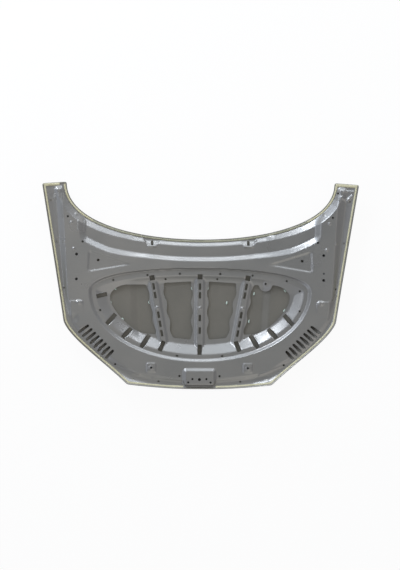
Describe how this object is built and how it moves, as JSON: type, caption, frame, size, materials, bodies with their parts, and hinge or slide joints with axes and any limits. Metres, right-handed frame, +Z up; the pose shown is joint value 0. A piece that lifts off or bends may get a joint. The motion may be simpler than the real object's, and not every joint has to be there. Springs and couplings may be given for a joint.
{
  "type": "car bonnet",
  "caption": "Steel car bonnet without fittings: an outer skin hemmed over a ribbed inner panel, with sealed edges, latch pad and hinge pads. Lies on its skin.",
  "frame": {"origin": "middle of the bounding box at its lowest level, where the outer skin touches the ground", "axes": "+X to the right as seen from above, +Y to the windscreen edge, +Z up, out of the inner side of the bonnet"},
  "size_m": [1.502, 0.981, 0.0985],
  "materials": {
    "primer": "grey electrocoat primer, semi-gloss",
    "bare_steel": "zinc coated steel, dull",
    "sealer": "cured cream seam sealer, satin",
    "mastic": "cured anti-flutter mastic, wet looking"
  },
  "bodies": {
    "root": {"outer_skin": "primer", "inner_panel": "primer", "latch_reinforcement": "bare_steel", "hinge_reinforcement_left": "bare_steel", "hinge_reinforcement_right": "bare_steel", "hinge_weld_nut_left_rear": "bare_steel", "hinge_weld_nut_left_front": "bare_steel", "hinge_weld_nut_right_rear": "bare_steel", "hinge_weld_nut_right_front": "bare_steel", "striker_weld_nut_left": "bare_steel", "striker_weld_nut_right": "bare_steel", "hem_sealer_rear_right": "sealer", "hem_sealer_rear_left": "sealer", "hem_sealer_horn_right": "sealer", "hem_sealer_horn_left": "sealer", "hem_sealer_side_right": "sealer", "hem_sealer_side_left": "sealer", "hem_sealer_diagonal_right": "sealer", "hem_sealer_diagonal_left": "sealer", "hem_sealer_front_right": "sealer", "hem_sealer_front_left": "sealer", "mastic_drop_01": "mastic", "mastic_drop_02": "mastic", "mastic_drop_03": "mastic", "mastic_drop_04": "mastic", "mastic_drop_05": "mastic", "mastic_drop_06": "mastic", "mastic_drop_07": "mastic", "mastic_drop_08": "mastic", "mastic_drop_09": "mastic", "mastic_drop_10": "mastic", "mastic_drop_11": "mastic", "mastic_drop_12": "mastic", "mastic_drop_13": "mastic", "mastic_drop_14": "mastic"}
  },
  "joints": []
}
